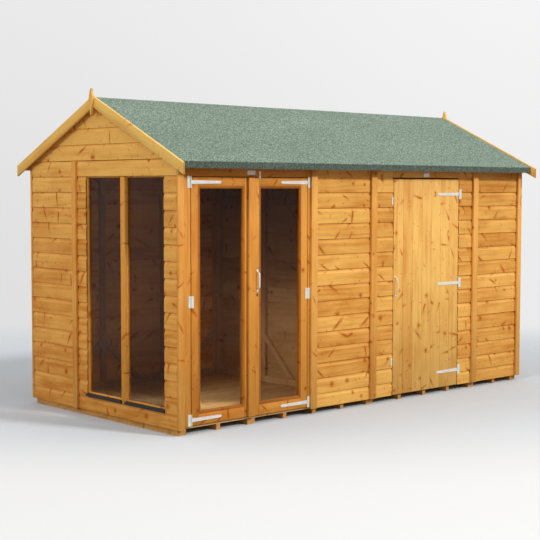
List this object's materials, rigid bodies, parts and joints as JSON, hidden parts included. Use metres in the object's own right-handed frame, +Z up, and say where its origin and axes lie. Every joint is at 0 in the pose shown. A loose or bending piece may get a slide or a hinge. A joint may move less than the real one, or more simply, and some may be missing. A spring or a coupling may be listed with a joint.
{
  "type": "summerhouse with side store",
  "caption": "Small timber summerhouse clad in dip-treated shiplap with a low felted apex roof, glazed double doors, a glazed gable window and a boarded store door under one roof",
  "frame": {"origin": "Middle of the footprint on the ground, where the floor bearers stand.", "axes": "+X runs along the front from the window gable towards the store, +Y from the front with the doors towards the back, +Z up."},
  "size_m": [3.721, 1.963, 2.2599],
  "materials": {
    "pine": "dip-treated softwood, satin",
    "inner_pine": "planed softwood, matt",
    "pale_pine": "pale dip-treated softwood, satin",
    "zinc": "bright galvanised steel",
    "glass": "clear glazing",
    "black": "black coated",
    "felt": "mineral roofing felt, matt"
  },
  "bodies": {
    "house": {"floor_bearers": "pine", "front_door_posts": "pine", "front_lintel": "pine", "front_wall_middle": "pine", "front_wall_beside_store_door": "pine", "front_wall_over_store_door": "pine", "front_wall_past_store_door": "pine", "front_wall_right": "pine", "back_wall": "pine", "window_gable_wall": "pine", "store_gable_wall": "pine", "window_frame": "pine", "front_cover_strips": "pine", "back_cover_strips": "pine", "gable_cover_strips": "pine", "eave_battens": "pine", "floor_boards": "inner_pine", "partition_boards": "inner_pine", "partition_frame": "inner_pine", "front_wall_frame": "inner_pine", "back_wall_frame": "inner_pine", "window_gable_frame": "inner_pine", "store_gable_frame": "inner_pine", "roof_boards_front": "inner_pine", "roof_boards_back": "inner_pine", "ridge_and_purlins": "inner_pine", "window_gable_bargeboards": "pale_pine", "store_gable_bargeboards": "pale_pine", "finials": "pale_pine", "hinge_plates": "zinc", "window_panes": "glass", "window_sills": "black", "roof_felt": "felt"},
    "left_door": {"left_door_frame": "pine", "left_door_pane": "glass", "left_door_hinges": "zinc"},
    "right_door": {"right_door_frame": "pine", "right_door_pane": "glass", "right_door_hinges": "zinc", "right_door_meeting_strip": "pine", "right_door_handle": "zinc"},
    "store_door": {"store_door_boards": "pale_pine", "store_door_ledges": "inner_pine", "store_door_hinges": "zinc", "store_door_handle": "zinc"}
  },
  "joints": [
    {"name": "left_door_hinge", "type": "hinge", "parent": "house", "child": "left_door", "pos_m": [-1.685, -0.861, 0.8585], "axis": [0, 0, -1], "range_deg": [0, 120]},
    {"name": "right_door_hinge", "type": "hinge", "parent": "house", "child": "right_door", "pos_m": [-0.645, -0.861, 0.8585], "axis": [0, 0, 1], "range_deg": [0, 120]},
    {"name": "store_door_hinge", "type": "hinge", "parent": "house", "child": "store_door", "pos_m": [1.005, -0.861, 0.8505], "axis": [0, 0, 1], "range_deg": [0, 120]}
  ]
}
